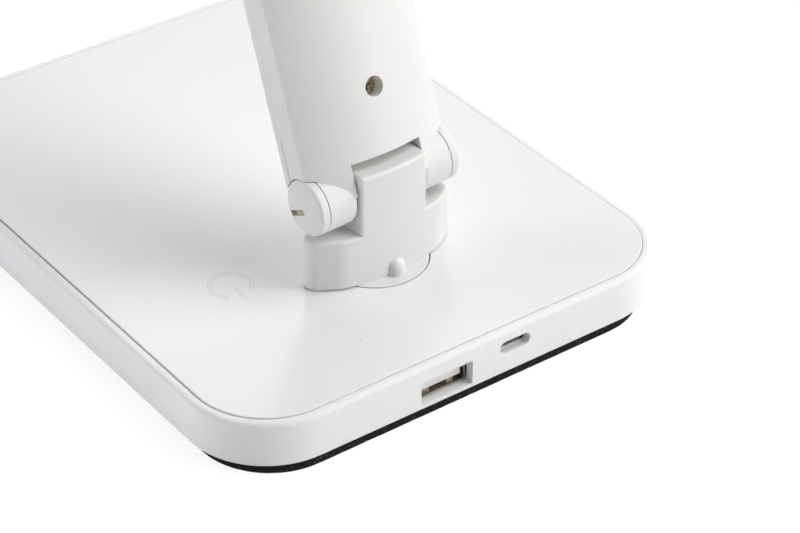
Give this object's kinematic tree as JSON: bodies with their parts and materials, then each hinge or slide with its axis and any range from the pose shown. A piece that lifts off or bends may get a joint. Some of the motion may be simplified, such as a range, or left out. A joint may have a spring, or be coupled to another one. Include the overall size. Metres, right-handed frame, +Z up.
{
  "type": "led table lamp",
  "caption": "LED table lamp with a flat battery base, rear USB outlet and inlet, swivel turret, tilting curved-back arm and a tilting bar light head.",
  "frame": {"origin": "centre of the base's underside, on the resting plane", "axes": "+Z up, -Y to the user's side, +Y to the rear with the ports, +X to the user's right"},
  "size_m": [0.1222, 0.321, 0.2675],
  "materials": {
    "white_satin": "satin white, faintly warm",
    "white_gloss": "glossy white lid",
    "black_foam": "black foam with lint",
    "mark_grey": "pale grey print",
    "copper_foil": "bare foil",
    "mild_steel": "zinc plated",
    "screw_steel": "zinc plated",
    "screw_bronze": "bronze-coloured plating",
    "board_green": "solder mask",
    "chip_black": "moulded",
    "tinned_steel": "tinned sheet",
    "port_white": "moulded white",
    "gold_contact": "gold flash",
    "cell_wrap": "pouch foil and tape",
    "acetal": "natural acetal",
    "lead_white": "white sheath",
    "board_white": "white solder mask",
    "phosphor": "phosphor over white body",
    "opal": "opal acrylic"
  },
  "bodies": {
    "base": {"base_shell": "white_satin", "top_panel": "white_gloss", "foot_pad": "black_foam", "touch_mark": "mark_grey", "touch_electrode": "copper_foil", "weight_plate": "mild_steel", "battery_pack": "cell_wrap", "control_board": "board_green", "board_parts": "chip_black", "board_screws": "screw_steel", "usb_a_shell": "tinned_steel", "usb_a_tongue": "port_white", "usb_a_contacts": "gold_contact", "micro_usb_shell": "tinned_steel", "micro_usb_tongue": "chip_black", "panel_screws": "screw_steel", "bearing_plate": "mild_steel", "bearing_screws": "screw_steel", "slip_washer": "acetal"},
    "turret": {"turret": "white_satin", "tilt_bushing": "acetal", "swivel_spindle": "mild_steel", "swivel_wave_washer": "mild_steel", "swivel_washer": "mild_steel", "swivel_nut": "mild_steel"},
    "arm": {"arm_rear_cover": "white_satin", "arm_front_cover": "white_satin", "arm_screws": "screw_bronze", "arm_bar": "mild_steel", "arm_lead": "lead_white", "tilt_bolt": "mild_steel", "tilt_nut": "mild_steel", "tilt_washers": "mild_steel", "tilt_cap_left": "white_satin", "tilt_cap_right": "white_satin", "head_bolt": "mild_steel", "head_nut": "mild_steel", "head_washers": "mild_steel", "head_cap_left": "white_satin", "head_cap_right": "white_satin"},
    "head": {"head_shell": "white_satin", "head_bezel": "white_satin", "head_knuckle": "white_satin", "head_knuckle_screws": "screw_steel", "head_bushing": "acetal", "led_board": "board_white", "led_chips": "phosphor", "led_screws": "screw_steel", "diffuser": "opal"}
  },
  "joints": [
    {"name": "turret_swivel", "type": "hinge", "parent": "base", "child": "turret", "pos_m": [-0.00211, 0.03972, 0.0134], "axis": [0, 0, 1], "range_deg": [-82.1, 77.9]},
    {"name": "arm_tilt", "type": "hinge", "parent": "turret", "child": "arm", "pos_m": [-0.00211, 0.03972, 0.03434], "axis": [0.9993, 0.0366, 0], "range_deg": [-19.6, 30.4]},
    {"name": "head_tilt", "type": "hinge", "parent": "arm", "child": "head", "pos_m": [0.00084, -0.04085, 0.26039], "axis": [0.9993, 0.0366, 0], "range_deg": [-60, 30]}
  ]
}
